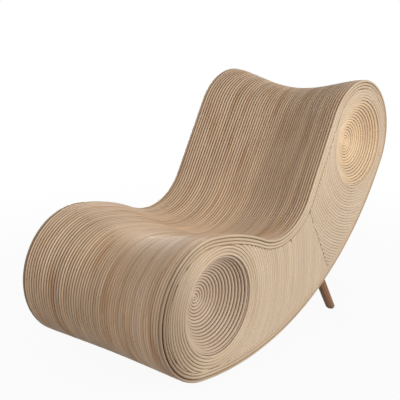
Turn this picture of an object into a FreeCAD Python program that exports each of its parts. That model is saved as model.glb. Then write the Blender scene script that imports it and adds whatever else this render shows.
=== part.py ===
import FreeCAD, Part
import math
import os

from FreeCAD import Vector

# Rattan lounge armchair: an S-shaped body wrapped in round canes.
# Each side face has a coiled dish at either end.
# Millimetres. X is the width (left is +X, as the sitter sees it), the front faces -Y and Z is up.
# The origin is on the floor, under the middle of the bounding box.

os.makedirs("parts", exist_ok=True)

# Overall sizes
overall_width = 600.0
overall_depth = 1314.0
overall_height = 842.0
floor_clearance = 3.0  # air under the lowest rim cane, which the glides fill

# Side outline of the rim
front_roll_radius = 224.5
top_roll_radius = 211.5
seat_height = 373.5  # lowest point of the rim at the seat
seat_radius = 202.0
seat_y = -65.0
shoulder_radius = 808.0  # long arc from the front roll down to the seat
belly_radius = 1061.0

# Depth of the saddle at mid width
front_saddle = 24.0
seat_saddle = 40.5
top_saddle = 52.0
saddle_power = 1.7  # above 1 the saddle runs out flatter towards the rim

# Canes
cane_diameter = 10.0
cane_gap = 0.33  # least air between canes that lie side by side
rim_cane_count = 3
rim_groove = 4.0  # shadow gap between the corner cane and the other rim canes
joint_gap = 0.8  # butt joint of a cane
shortest_cane = 20.0
wrap_joint_shift = 0.04  # stagger of the wrap joints, as a share of the belly arc

# Dishes on the side faces
front_dish_radius = 156.0
front_dish_depth = 98.0
front_dish_behind = 47.0  # from the middle of the front roll
front_dish_below = 2.0
top_dish_radius = 157.0
top_dish_depth = 60.0
top_dish_ahead = 8.5  # from the middle of the top roll
top_dish_below = 20.0
cup_wall = 5.0
coil_gap = 0.5  # air between the turns of a dish coil
coil_bed_gap = 0.4  # air between a coil and its cup
coil_hole_radius = 5.2  # left free in the middle of a coil
seam_reach = 526.0  # from the front dish to the seam of the facing canes, towards the top dish
seam_tilt = 5.6  # degrees, from square to the line between the dishes

# Plywood and rails
panel_thickness = 15.0
rib_thickness = 15.0
rib_count = 4
rib_hole_radius = 90.0
deck_thickness = 6.0
deck_gap = 1.0  # air between deck plates
deck_straight = 50.0  # longest straight run of a deck plate across the width
front_deck_plates = 3  # deck plates along each stretch of the outline
shoulder_deck_plates = 1
seat_deck_plates = 2
back_deck_plates = 1
top_deck_plates = 3
belly_deck_plates = 2
rail_radius = 14.0
rail_edge = 11.0  # wood between a rail's hole and the edge of a rib
seat_rail_share = 0.5  # place of a rail, as a share of its stretch of the outline
back_rail_share = 0.3
rear_rail_share = 0.2
belly_rail_share = 0.6
screw_radius = 2.4
screw_length = 50.0
screw_head_radius = 5.0

# Rear legs
leg_foot_inset = 17.0  # from the side face to the middle of the foot
leg_foot_y = 315.0
leg_splay = 0.29  # sideways and backwards run per unit of height
leg_foot_radius = 15.5
leg_body_radius = 18.5
leg_foot_round = 4.0
leg_hole_gap = 0.5
block_length = 96.0
block_wall = 4.0  # least wood between the rib and the socket or the washer's recess
socket_depth = 40.0
bolt_radius = 4.0
bolt_reach = 34.0  # into the leg
bolt_head_radius = 7.5
bolt_head_height = 6.0
washer_radius = 11.0
washer_thickness = 2.0
bolt_land = 16.0  # wood of the block between the socket and the washer

# Nail-on glides
front_glide_radius = 14.0
foot_glide_radius = 12.0
foot_glide_thickness = 3.5
glide_nail_radius = 1.5
front_nail_length = 20.0
foot_nail_length = 22.0
outer_glide_cane = 4  # wrap canes between an outer front glide and the rim

# Clearances
fit_gap = 0.3  # between pieces that seat on or pass through each other
nail_gap = 0.2
tolerance = 0.001
settling_rounds = 30  # for places that are found by repeating

half_width = overall_width / 2
cane_radius = cane_diameter / 2
cane_pitch = cane_diameter + cane_gap
face_x = half_width - cane_radius
panel_outer_x = half_width - cane_diameter - fit_gap
panel_inner_x = panel_outer_x - panel_thickness
coil_start_radius = coil_hole_radius + cane_radius
coil_pitch = cane_diameter + coil_gap

wrap_reach = face_x - cane_pitch
wrap_count = int(2 * wrap_reach / cane_pitch) + 1
wrap_pitch = 2 * wrap_reach / (wrap_count - 1)
wrap_places = [wrap_pitch * (k - (wrap_count - 1) / 2) for k in range(wrap_count)]

# A deck plate is straight in runs, so it lies this much below the canes' curve
deepest_saddle = max(2 * front_saddle, seat_saddle, top_saddle)
deck_sag = saddle_power * deepest_saddle * (deck_straight / half_width) ** 2 / 4
deck_top = cane_diameter + fit_gap + deck_sag
deck_bottom = deck_top + deck_thickness
frame_inset = deck_bottom + fit_gap
rail_inset = frame_inset + rail_edge + rail_radius
rim_insets = [cane_radius + k * cane_pitch + (rim_groove if k else 0) for k in range(rim_cane_count)]
face_inset = rim_insets[-1] + cane_pitch - cane_radius

front_y = front_roll_radius - overall_depth / 2
top_y = overall_depth / 2 - top_roll_radius
top_z = overall_height - top_roll_radius
seat_z = seat_height + seat_radius


def share_at(x):
    """How much of the saddle there is at x: 0 at the rim, 1 at mid width."""
    return (1 - (x / half_width) ** 2) ** saddle_power


def place_from(first, to_first, second, to_second, side):
    """The place at given distances from two others, on one side of the line between them."""
    line = (second[0] - first[0], second[1] - first[1])
    length = math.hypot(*line)
    along = (to_first**2 - to_second**2 + length**2) / (2 * length)
    across = side * math.sqrt(to_first**2 - along**2)
    y = first[0] + (line[0] * along - line[1] * across) / length
    z = first[1] + (line[1] * along + line[0] * across) / length
    return (y, z)


def belly_centre(front, front_radius, top, top_radius):
    """Centre of the belly arc, which holds the front roll and the top roll inside it."""
    return place_from(front, belly_radius - front_radius, top, belly_radius - top_radius, 1)


def direction(start, end):
    return math.atan2(end[1] - start[1], end[0] - start[0])


def rim_lift():
    """Height of the front roll above the floor that leaves floor_clearance under the whole rim."""
    lift = floor_clearance
    for _ in range(settling_rounds):
        front = (front_y, lift + front_roll_radius)
        belly = belly_centre(front, front_roll_radius, (top_y, top_z), top_roll_radius)
        lowest = belly[1] - belly_radius if belly[0] > front_y else lift
        lift += floor_clearance - lowest
    return lift


front_lift = rim_lift()


class Arc:
    """A stretch of a circle in the side view, from one angle to another."""

    def __init__(self, centre, radius, start, end):
        self.centre = centre
        self.radius = radius
        self.start = start
        self.end = end

    def at(self, share, x=0.0):
        angle = self.start + (self.end - self.start) * share
        y = self.centre[0] + self.radius * math.cos(angle)
        z = self.centre[1] + self.radius * math.sin(angle)
        return Vector(x, y, z)

    def edge(self, first, last, x):
        return Part.Arc(self.at(first, x), self.at((first + last) / 2, x), self.at(last, x)).toShape()


class Line:
    """A straight stretch in the side view."""

    def __init__(self, start, end):
        self.start = start
        self.end = end

    def at(self, share, x=0.0):
        place = self.start + (self.end - self.start) * share
        return Vector(x, place.y, place.z)

    def edge(self, first, last, x):
        return Part.LineSegment(self.at(first, x), self.at(last, x)).toShape()


def down_to(angle, limit):
    """The same direction as angle, at most one turn below limit."""
    while angle > limit:
        angle -= 2 * math.pi
    while angle <= limit - 2 * math.pi:
        angle += 2 * math.pi
    return angle


class Outline:
    """Side outline at one share of the saddle, pulled in by inset, as six stretches."""

    def __init__(self, share, inset):
        front_radius = front_roll_radius - front_saddle * share
        dip_radius = seat_radius + seat_saddle * share
        top_radius = top_roll_radius - top_saddle * share
        front = (front_y, front_lift + front_radius)
        seat = (seat_y, seat_z)
        top = (top_y, top_z)
        belly = belly_centre(front, front_radius, top, top_radius)
        shoulder = place_from(front, shoulder_radius - front_radius, seat, shoulder_radius + dip_radius, -1)
        rise = direction(shoulder, front)
        fall = down_to(direction(shoulder, seat), rise)
        # The back is the straight line that touches the seat arc and the top roll
        apart = math.hypot(top[0] - seat[0], top[1] - seat[1])
        lean = direction(seat, top) - math.acos((dip_radius + top_radius) / apart)
        under_front = direction(belly, front)
        behind_top = direction(belly, top)
        front_start = down_to(under_front, rise + 2 * math.pi)
        seat_start = down_to(fall - math.pi, lean)
        top_end = down_to(behind_top, lean + math.pi)
        belly_end = down_to(under_front, top_end)
        self.front = Arc(front, front_radius - inset, front_start, rise)
        self.seat = Arc(seat, dip_radius + inset, seat_start, lean)
        self.top = Arc(top, top_radius - inset, lean + math.pi, top_end)
        self.belly = Arc(belly, belly_radius - inset, top_end, belly_end)
        self.shoulder = Arc(shoulder, shoulder_radius - inset, rise, fall)
        self.back = Line(self.seat.at(1), self.top.at(0))
        self.round = [self.front, self.shoulder, self.seat, self.back, self.top]

    def wire(self, x):
        """The closed outline at x."""
        return Part.Wire([part.edge(0, 1, x) for part in self.round + [self.belly]])

    def open_path(self, x, joint):
        """The outline at x, open at a butt joint on the belly arc."""
        half = joint_gap / 2 / self.belly.radius / abs(self.belly.end - self.belly.start)
        edges = [self.belly.edge(joint + half, 1, x)]
        edges += [part.edge(0, 1, x) for part in self.round]
        edges.append(self.belly.edge(0, joint - half, x))
        return Part.Wire(edges)


def cane_along(path):
    """A round cane along a path."""
    first = path.OrderedEdges[0]
    start = first.valueAt(first.FirstParameter)
    run = first.tangentAt(first.FirstParameter)
    circle = Part.Circle(start, run, cane_radius)
    circle.XAxis = Vector(1, 0, 0)
    return path.makePipeShell([Part.Wire(circle.toShape())], True, False)


def mirrored(shape):
    return shape.mirror(Vector(0, 0, 0), Vector(1, 0, 0))


def rod(start, direction, length, radius):
    return Part.makeCylinder(radius, length, start, direction)


def plate(inner_x, outer_x):
    """A bevelled plate that fills the frame's outline between two places on the X axis."""
    wires = [Outline(share_at(x), frame_inset).wire(x) for x in (inner_x, outer_x)]
    return Part.makeLoft(wires, True, True)


def export(name, shapes):
    shape = shapes[0] if len(shapes) == 1 else Part.makeCompound(shapes)
    shape.exportStep("parts/" + name + ".step")
    solids = shape.Solids
    good = all(s.isValid() for s in solids)
    print(f"{name}: {len(solids)} solids, {shape.Volume / 1000:.1f} cm3, valid {good}")


class Leg:
    """Where the left rear leg runs, and its block between a rib's outer face and the side panel."""

    def __init__(self, rib_face):
        self.foot = Vector(half_width - leg_foot_inset, leg_foot_y, 0)
        self.up = Vector(-leg_splay, -leg_splay, 1).normalize()
        self.rib_face = rib_face
        self.inside = Outline(share_at(self.rib_face), frame_inset).belly
        centre = Vector(0, *self.inside.centre)
        low = 0.0
        high = overall_height
        while high - low > tolerance:
            middle = (low + high) / 2
            place = self.along(middle)
            place.x = 0
            if (place - centre).Length > self.inside.radius:
                low = middle
            else:
                high = middle
        self.normal = (centre - place).normalize()
        self.tangent = Vector(0, self.normal.z, -self.normal.y)
        # The block's flat underside is a chord of the deck's inner face
        chord = self.inside.radius - math.sqrt(self.inside.radius**2 - (block_length / 2) ** 2)
        self.seat_point = place + self.normal * chord
        slant = self.up.y * self.normal.y + self.up.z * self.normal.z
        self.block_start = low + chord / slant
        self.end = self.block_start + socket_depth
        self.washer = self.end + bolt_land
        self.top = self.washer + washer_thickness + bolt_head_height
        self.block_height = (self.top - self.block_start) * slant + washer_radius * math.sqrt(1 - slant**2)

    def along(self, distance):
        return self.foot + self.up * distance

    def hole(self):
        """What the deck and the canes leave free for the leg."""
        radius = leg_body_radius + leg_hole_gap
        return rod(self.foot, self.up, self.end, radius)

    def rib_room(self):
        """Place of the rib's outer face that leaves block_wall beside the socket and the washer."""
        beside_socket = self.along(self.end).x - leg_body_radius
        beside_washer = self.along(self.top).x - washer_radius
        return min(beside_socket, beside_washer) - block_wall


def settled_leg():
    """The leg with its rib in the place that the leg's own block asks for."""
    found = Leg(half_width / 2)
    for _ in range(settling_rounds):
        found = Leg(found.rib_room())
    return found


leg = settled_leg()
outer_rib = leg.rib_face - rib_thickness / 2
rib_middles = [outer_rib * (2 * k / (rib_count - 1) - 1) for k in range(rib_count)]
bay_edges = [-panel_outer_x] + rib_middles + [panel_outer_x]
leg_hole_left = leg.hole()
leg_holes = [leg_hole_left, mirrored(leg_hole_left)]


class FrontGlide:
    """A glide nailed through one wrap cane at the lowest place of that cane."""

    def __init__(self, x):
        outline = Outline(share_at(x), 0)
        # The belly's lowest place counts only where it lies behind the front roll's own
        behind = outline.belly.centre[0] > outline.front.centre[0]
        lowest = outline.belly if behind else outline.front
        self.x = x
        self.y = lowest.centre[0]
        self.thickness = lowest.centre[1] - lowest.radius - fit_gap

    def nail(self, gap):
        length = self.thickness + front_nail_length + gap
        return rod(Vector(self.x, self.y, 0), Vector(0, 0, 1), length, glide_nail_radius + gap)

    def solid(self):
        disc = rod(Vector(self.x, self.y, 0), Vector(0, 0, 1), self.thickness, front_glide_radius)
        return disc.fuse(self.nail(0)).removeSplitter()


glide_canes = [outer_glide_cane, wrap_count // 3]
glide_canes += [wrap_count - 1 - k for k in reversed(glide_canes)]
front_glides = [FrontGlide(wrap_places[k]) for k in glide_canes]
glide_nail_rooms = [glide.nail(nail_gap) for glide in front_glides]


def cleared(shape, cutters):
    """The shape with every cutter taken out that reaches it."""
    for cutter in cutters:
        if shape.BoundBox.intersect(cutter.BoundBox):
            shape = shape.cut(cutter)
    return shape


def wrap_cane(index):
    """One cane round the whole body, open at its butt joint under the belly."""
    x = wrap_places[index]
    outline = Outline(share_at(x), cane_radius)
    joint = 0.5 + wrap_joint_shift * (1 if index % 2 else -1)
    cane = cane_along(outline.open_path(x, joint))
    return cleared(cane, leg_holes + glide_nail_rooms)


def wrap_bay(bay):
    """The wrap canes over one bay of the frame."""
    low, high = bay_edges[bay : bay + 2]
    chosen = [k for k, x in enumerate(wrap_places) if low <= x < high]
    return [solid for k in chosen for solid in wrap_cane(k).Solids]


def deck_plates(stretches):
    """Bent plates on the ribs: stretches is a list of (name of a stretch, number of plates along it)."""
    cutters = leg_holes + glide_nail_rooms
    plates = []
    for start, end in zip(bay_edges, bay_edges[1:]):
        low = start + deck_gap / 2
        high = end - deck_gap / 2
        runs = math.ceil((high - low) / deck_straight)
        places = [low + (high - low) * k / runs for k in range(runs + 1)]
        for name, count in stretches:
            for k in range(count):
                wires = [deck_section(x, name, k, count) for x in places]
                plates += cleared(Part.makeLoft(wires, True, True), cutters).Solids
    return plates


def deck_section(x, name, index, count):
    """Cross section of a deck plate at x, in the side view."""
    outer = getattr(Outline(share_at(x), deck_top), name)
    inner = getattr(Outline(share_at(x), deck_bottom), name)
    length = outer.edge(0, 1, x).Length
    trim = deck_gap / 2 / length
    first = index / count + trim
    last = (index + 1) / count - trim
    start = Part.LineSegment(inner.at(first, x), outer.at(first, x)).toShape()
    end = Part.LineSegment(outer.at(last, x), inner.at(last, x)).toShape()
    return Part.Wire([start, outer.edge(first, last, x), end, inner.edge(last, first, x)])


class Dish:
    """A coiled dish on the left side face: a bowl that is the cap of a sphere."""

    def __init__(self, y, z, radius, depth):
        self.y = y
        self.z = z
        self.radius = radius
        self.sphere = (radius**2 + depth**2) / (2 * depth)  # to the middle of the coiled cane
        self.sphere_x = face_x - depth + self.sphere
        self.lip = 2 * math.atan(depth / radius)  # angle up the bowl, seen from the sphere's middle
        self.cup_inside = self.sphere + cane_radius + coil_bed_gap
        self.cup_outside = self.cup_inside + cup_wall

    def centre(self, x=0.0):
        return Vector(x, self.y, self.z)

    def at(self, radius, rise, angle):
        """The place at a radius from the sphere's middle, an angle up the bowl and one round its axis."""
        out = radius * math.sin(rise)
        x = self.sphere_x - radius * math.cos(rise)
        return Vector(x, self.y + out * math.cos(angle), self.z + out * math.sin(angle))

    def mouth(self, radius):
        """Angle up the bowl at which a sphere meets the panel's outer face."""
        return math.acos((self.sphere_x - panel_outer_x) / radius)

    def hole_radius(self):
        """Radius of the panel's hole round the cup."""
        return self.cup_outside * math.sin(self.mouth(self.cup_outside)) + fit_gap

    def cup(self):
        """The bowl that the coil is glued into, level with the panel's outer face."""
        inside, outside = [
            [self.at(radius, self.mouth(radius) * share, math.pi / 2) for share in (0, 0.5, 1)]
            for radius in (self.cup_inside, self.cup_outside)
        ]
        edges = [
            Part.Arc(*inside).toShape(),
            Part.LineSegment(inside[-1], outside[-1]).toShape(),
            Part.Arc(*outside).toShape(),
            Part.LineSegment(outside[0], inside[0]).toShape(),
        ]
        face = Part.Face(Part.Wire(edges))
        return face.revolve(self.centre(), Vector(1, 0, 0), 360)

    def coil_point(self, turn):
        """Place and direction of the coil after a number of turns."""
        rise = self.coil_start() + coil_pitch * turn / self.sphere
        angle = 2 * math.pi * turn
        round_axis = self.sphere * math.sin(rise)
        grow = coil_pitch / (2 * math.pi)
        out = grow * math.cos(rise)
        run = Vector(
            grow * math.sin(rise),
            out * math.cos(angle) - round_axis * math.sin(angle),
            out * math.sin(angle) + round_axis * math.cos(angle),
        )
        return self.at(self.sphere, rise, angle), run.normalize()

    def coil_start(self):
        """Angle up the bowl at which the coil starts."""
        return math.asin(coil_start_radius / self.sphere)

    def coil_turns(self):
        """Turns in quarters, up to the innermost facing cane at the lip."""
        half = cane_pitch / 2
        # The straight end leaves the coil's round and needs room of its own
        apart = cane_pitch + cane_diameter**2 / (2 * self.radius)
        slant = half * math.cos(self.lip)
        below_lip = math.sqrt(slant**2 + apart**2 - half**2) - slant
        room = (self.lip - self.coil_start()) * self.sphere - below_lip
        return int(4 * room / coil_pitch) / 4

    def coil(self):
        """One unbroken cane, wound from the bottom of the dish to its lip, with a straight end."""
        quarters = int(4 * self.coil_turns())
        stations = [self.coil_point(k / 4) for k in range(quarters + 1)]
        edges = []
        for (start, run), (end, next_run) in zip(stations, stations[1:]):
            edges += biarc(start, run, end, next_run)
        last, run = stations[-1]
        edges.append(Part.LineSegment(last, last + run * cane_diameter).toShape())
        solid = cane_along(Part.Wire(edges))
        length = sum(edge.Length for edge in edges)
        share = solid.Volume / (math.pi * cane_radius**2 * length)
        print(f"coil of {quarters / 4} turns, volume over section times length {share:.5f}")
        print(f"  least gap to itself {self.coil_self_gap():.2f} mm")
        return solid

    def coil_self_gap(self):
        """Least distance between the surfaces of neighbouring turns, measured on points."""
        per_turn = 48
        points = [self.coil_point(k / per_turn)[0] for k in range(int(self.coil_turns() * per_turn) + 1)]
        near = math.inf
        for k, place in enumerate(points):
            for other in points[k + per_turn // 2 : k + 2 * per_turn]:
                near = min(near, (other - place).Length)
        return near - cane_diameter


def arc_from(start, run, end):
    """The arc that leaves start along run and passes through end."""
    chord = end - start
    half_turn = run.getAngle(chord)
    side = (chord - run * run.dot(chord)).normalize()
    rise = chord.Length / 2 * math.tan(half_turn / 2)
    along = chord.Length / 2
    flat = Vector(chord).normalize()
    out = (flat * flat.dot(side) - side).normalize()
    return Part.Arc(start, start + flat * along + out * rise, end).toShape()


def biarc(start, run, end, next_run):
    """Two arcs from start to end that share a tangent where they meet."""
    chord = end - start
    both = run + next_run
    spread = 2 * (1 - run.dot(next_run))
    reach = (math.sqrt(chord.dot(both) ** 2 + spread * chord.dot(chord)) - chord.dot(both)) / spread
    middle = (start + end + (run - next_run) * reach) * 0.5
    first = arc_from(start, run, middle)
    second = arc_from(end, next_run * -1, middle)
    return [first, second]


front_dish = Dish(
    front_y + front_dish_behind,
    front_lift + front_roll_radius - front_dish_below,
    front_dish_radius,
    front_dish_depth,
)
top_dish = Dish(top_y - top_dish_ahead, top_z - top_dish_below, top_dish_radius, top_dish_depth)


def facing_regions():
    """The two regions of a side face, about the front and the top dish, as solids as deep as a cane."""
    start = front_dish.centre()
    line = (top_dish.centre() - start).normalize()
    across = Vector(0, -line.z, line.y)
    tilt = math.radians(seam_tilt)
    along_seam = across * math.cos(tilt) - line * math.sin(tilt)
    past_seam = line * math.cos(tilt) + across * math.sin(tilt)
    middle = start + line * seam_reach
    whole = Part.Face(Outline(0, face_inset).wire(panel_outer_x))
    whole = whole.extrude(Vector(cane_diameter + 2 * fit_gap, 0, 0))
    regions = []
    for way in (-1, 1):
        base = middle + past_seam * (way * cane_gap / 2)
        reach = overall_depth
        corners = [
            base - along_seam * reach,
            base + along_seam * reach,
            base + along_seam * reach + past_seam * (way * reach),
            base - along_seam * reach + past_seam * (way * reach),
        ]
        half = Part.Face(Part.makePolygon(corners + corners[:1])).extrude(Vector(overall_width, 0, 0))
        regions.append(whole.common(half))
    return regions


def facing_canes(dish, region, joint_direction):
    """Canes on the left side face, in arcs about a dish, cut to the region that they fill."""
    flat = region.slice(Vector(1, 0, 0), face_x)
    face = Part.Face(flat[0])
    canes = []
    radius = dish.radius + cane_pitch / 2
    while radius < face.BoundBox.DiagonalLength:
        canes += arcs_in_face(dish, radius, face, region, joint_direction)
        radius += cane_pitch
    return canes


def arcs_in_face(dish, radius, face, region, ahead):
    """The canes at one radius: the stretches of the circle in the face, their ends cut along its edge."""
    centre = dish.centre(face_x)
    aside = Vector(1, 0, 0).cross(ahead)

    def at(angle):
        return centre + ahead * (radius * math.cos(angle)) + aside * (radius * math.sin(angle))

    joint = joint_gap / 2 / radius
    ring = Part.Arc(at(joint), at(math.pi), at(2 * math.pi - joint)).toShape()
    canes = []
    for stretch in ring.common(face).Edges:
        if stretch.Length < shortest_cane:
            continue
        ends = []
        for parameter in (stretch.FirstParameter, stretch.LastParameter):
            offset = stretch.valueAt(parameter) - centre
            ends.append(math.atan2(offset.dot(aside), offset.dot(ahead)) % (2 * math.pi))
        low, high = min(ends), max(ends)
        spare = 2 * cane_diameter / radius
        low = max(joint, low - spare)
        high = min(2 * math.pi - joint, high + spare)
        path = Part.Wire(Part.Arc(at(low), at((low + high) / 2), at(high)).toShape())
        cane = cane_along(path).common(region)
        solids = sorted(cane.Solids, key=lambda solid: solid.Volume)
        canes.append(solids[-1])
    return canes


def rim_canes():
    """Canes on the left side face that follow the outline, from the corner inwards."""
    canes = []
    for k, inset in enumerate(rim_insets):
        outline = Outline(0, inset)
        joint = 0.5 + wrap_joint_shift * (k - 1)
        canes.append(cane_along(outline.open_path(face_x, joint)))
    return canes


deepest = Outline(1, rail_inset)
rail_places = {
    "seat_rail": deepest.seat.at(seat_rail_share),
    "back_rail": deepest.back.at(back_rail_share),
    "rear_rail": deepest.belly.at(rear_rail_share),
    "belly_rail": deepest.belly.at(belly_rail_share),
}
screw_top = panel_outer_x - nail_gap


def rail_screw(place, gap):
    """A countersunk screw through the left panel into a rail's end, or the room for it with a gap."""
    inward = Vector(-1, 0, 0)
    top = Vector(screw_top, place.y, place.z)
    head = Part.makeCone(screw_head_radius + gap, screw_radius + gap, screw_head_radius, top, inward)
    shank = rod(top, inward, screw_length + gap, screw_radius + gap)
    return head.fuse(shank).removeSplitter()


def screw_room(place):
    room = rail_screw(place, nail_gap)
    top = Vector(screw_top, place.y, place.z)
    above = rod(top, Vector(1, 0, 0), 2 * nail_gap, screw_head_radius + nail_gap)
    return room.fuse(above)


def rail(place):
    body = rod(Vector(-panel_inner_x, place.y, place.z), Vector(1, 0, 0), 2 * panel_inner_x, rail_radius)
    room = screw_room(place)
    return body.cut(room).cut(mirrored(room))


def side_panel():
    panel = plate(panel_inner_x, panel_outer_x)
    for dish in (front_dish, top_dish):
        hole = rod(dish.centre(panel_inner_x), Vector(1, 0, 0), panel_thickness, dish.hole_radius())
        panel = panel.cut(hole)
    for place in rail_places.values():
        panel = panel.cut(screw_room(place))
    return panel


def inner_rib(middle):
    start = middle - rib_thickness / 2
    rib = plate(start, start + rib_thickness)
    for dish in (front_dish, top_dish):
        rib = rib.cut(rod(dish.centre(start), Vector(1, 0, 0), rib_thickness, rib_hole_radius))
    for place in rail_places.values():
        hole = rod(Vector(start, place.y, place.z), Vector(1, 0, 0), rib_thickness, rail_radius + fit_gap)
        rib = rib.cut(hole)
    return rib


def leg_solid():
    """The left leg, a turned taper with a rounded foot, cut level above its glide."""
    spare = leg_foot_radius
    length = leg.block_start + spare
    taper = Part.makeCone(leg_foot_radius, leg_body_radius, length, leg.along(-spare), leg.up)
    tenon = rod(leg.along(leg.block_start), leg.up, socket_depth - fit_gap, leg_body_radius)
    solid = taper.fuse(tenon).removeSplitter()
    under = Part.makeBox(overall_width, overall_width, overall_width)
    under.translate(leg.foot + Vector(-half_width, -half_width, foot_glide_thickness - overall_width))
    solid = solid.cut(under)
    rim = [e for e in solid.Edges if e.BoundBox.ZMax < foot_glide_thickness + tolerance]
    solid = solid.makeFillet(leg_foot_round, rim)
    solid = solid.cut(foot_nail(nail_gap))
    return solid.cut(bolt_shank(nail_gap))


def foot_middle():
    """Middle of the leg's level underside."""
    return leg.foot + leg.up * (foot_glide_thickness / leg.up.z)


def foot_nail(gap):
    base = foot_middle()
    base.z = 0
    length = foot_glide_thickness + foot_nail_length + gap
    return rod(base, Vector(0, 0, 1), length, glide_nail_radius + gap)


def foot_glide():
    base = foot_middle()
    base.z = 0
    disc = rod(base, Vector(0, 0, 1), foot_glide_thickness, foot_glide_radius)
    return disc.fuse(foot_nail(0)).removeSplitter()


def bolt_shank(gap):
    start = leg.along(leg.end - bolt_reach - gap)
    length = leg.washer + washer_thickness - leg.end + bolt_reach + gap
    return rod(start, leg.up, length, bolt_radius + gap)


def leg_bolt():
    """Hexagon bolt from the block's top down into the leg."""
    corners = [
        Vector(math.cos(k * math.pi / 3), math.sin(k * math.pi / 3), 0) * bolt_head_radius
        for k in range(7)
    ]
    head = Part.Face(Part.makePolygon(corners)).extrude(Vector(0, 0, bolt_head_height))
    turn = FreeCAD.Rotation(Vector(0, 0, 1), leg.up)
    head.Placement = FreeCAD.Placement(leg.along(leg.washer + washer_thickness), turn)
    return head.fuse(bolt_shank(0)).removeSplitter()


def leg_washer():
    disc = rod(leg.along(leg.washer), leg.up, washer_thickness, washer_radius)
    return disc.cut(bolt_shank(nail_gap))


def leg_block():
    """Block between the outer rib and the side panel, flat on the deck, with the leg's socket."""
    half = leg.tangent * (block_length / 2)
    rise = leg.normal * leg.block_height
    base = leg.seat_point + Vector(leg.rib_face, 0, 0)
    corners = [base - half, base + half, base + half + rise, base - half + rise]
    face = Part.Face(Part.makePolygon(corners + corners[:1]))
    block = face.extrude(Vector(panel_inner_x - leg.rib_face, 0, 0))
    block = block.cut(rod(leg.foot, leg.up, leg.end, leg_body_radius + fit_gap))
    block = block.cut(rod(leg.along(leg.washer), leg.up, leg.block_height, washer_radius + fit_gap))
    return block.cut(bolt_shank(nail_gap))


def export_pair(name, solids):
    """The left and the right copy of a piece that is modelled on the left."""
    export(name + "_left", solids)
    export(name + "_right", [mirrored(solid) for solid in solids])


for bay in range(rib_count + 1):
    export(f"wrap_canes_bay_{bay + 1}", wrap_bay(bay))
export_pair("rim_canes", rim_canes())
front_region, back_region = facing_regions()
export_pair("facing_canes_front", facing_canes(front_dish, front_region, Vector(0, 0, -1)))
export_pair("facing_canes_back", facing_canes(top_dish, back_region, Vector(0, 1, 0)))
for name, dish in (("front", front_dish), ("top", top_dish)):
    export_pair(name + "_dish_coil", [dish.coil()])
    export_pair(name + "_dish_cup", [dish.cup()])

export("front_roll_deck", deck_plates([("front", front_deck_plates)]))
export("seat_deck", deck_plates([("shoulder", shoulder_deck_plates), ("seat", seat_deck_plates)]))
export("back_deck", deck_plates([("back", back_deck_plates)]))
export("top_roll_deck", deck_plates([("top", top_deck_plates)]))
export("belly_deck", deck_plates([("belly", belly_deck_plates)]))

export_pair("side_panel", [side_panel()])
for k, middle in enumerate(rib_middles):
    export(f"inner_rib_{k + 1}", [inner_rib(middle)])
for name, place in rail_places.items():
    export(name, [rail(place)])
export_pair("rail_screws", [rail_screw(place, 0) for place in rail_places.values()])

export_pair("leg", [leg_solid()])
export_pair("leg_block", [leg_block()])
export_pair("leg_bolt", [leg_bolt()])
export_pair("leg_washer", [leg_washer()])
export_pair("foot_glide", [foot_glide()])
for k, glide in enumerate(front_glides):
    export(f"front_glide_{k + 1}", [glide.solid()])
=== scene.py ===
import math
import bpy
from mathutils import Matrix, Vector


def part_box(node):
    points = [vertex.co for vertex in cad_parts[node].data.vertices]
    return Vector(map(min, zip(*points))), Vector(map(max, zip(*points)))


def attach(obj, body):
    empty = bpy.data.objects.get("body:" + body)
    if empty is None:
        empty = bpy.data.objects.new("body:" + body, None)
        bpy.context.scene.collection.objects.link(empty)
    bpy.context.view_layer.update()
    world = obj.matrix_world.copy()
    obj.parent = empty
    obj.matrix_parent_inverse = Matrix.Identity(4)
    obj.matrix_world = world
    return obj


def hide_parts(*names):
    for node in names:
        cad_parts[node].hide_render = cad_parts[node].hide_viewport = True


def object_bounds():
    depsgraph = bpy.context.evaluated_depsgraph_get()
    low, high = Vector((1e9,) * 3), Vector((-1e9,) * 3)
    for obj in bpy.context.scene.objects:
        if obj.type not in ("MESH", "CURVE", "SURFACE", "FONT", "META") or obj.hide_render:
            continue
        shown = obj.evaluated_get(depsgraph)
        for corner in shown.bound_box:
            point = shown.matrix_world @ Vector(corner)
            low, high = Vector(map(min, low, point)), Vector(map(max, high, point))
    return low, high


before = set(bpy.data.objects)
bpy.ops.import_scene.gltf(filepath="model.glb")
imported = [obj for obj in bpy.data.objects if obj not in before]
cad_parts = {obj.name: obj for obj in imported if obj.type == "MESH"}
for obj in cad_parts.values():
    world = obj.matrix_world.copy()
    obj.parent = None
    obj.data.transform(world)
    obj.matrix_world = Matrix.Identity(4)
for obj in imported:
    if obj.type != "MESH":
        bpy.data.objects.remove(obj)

from fnmatch import fnmatch

import bpy
import numpy as np
from bpy.props import FloatProperty, FloatVectorProperty, IntProperty, PointerProperty
from mathutils import Vector

bl_info = {
    "name": "Rattan lounge armchair",
    "version": (1, 0, 0),
    "blender": (4, 5, 0),
    "location": "3D View > Sidebar > Armchair",
    "description": "Canes, legs and finishes of an S-shaped rattan lounge chair, round its frame",
    "category": "Object",
}

BODY = "root"
CAD_LOW, CAD_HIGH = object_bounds()
CAD_SIZE = CAD_HIGH - CAD_LOW
TURN = 2 * math.pi
WHITE = (1.0, 1.0, 1.0, 1.0)
DULL_STEEL = (0.25, 0.24, 0.2)
SCUFFS = (0.2, 0.18, 0.16)

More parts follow.
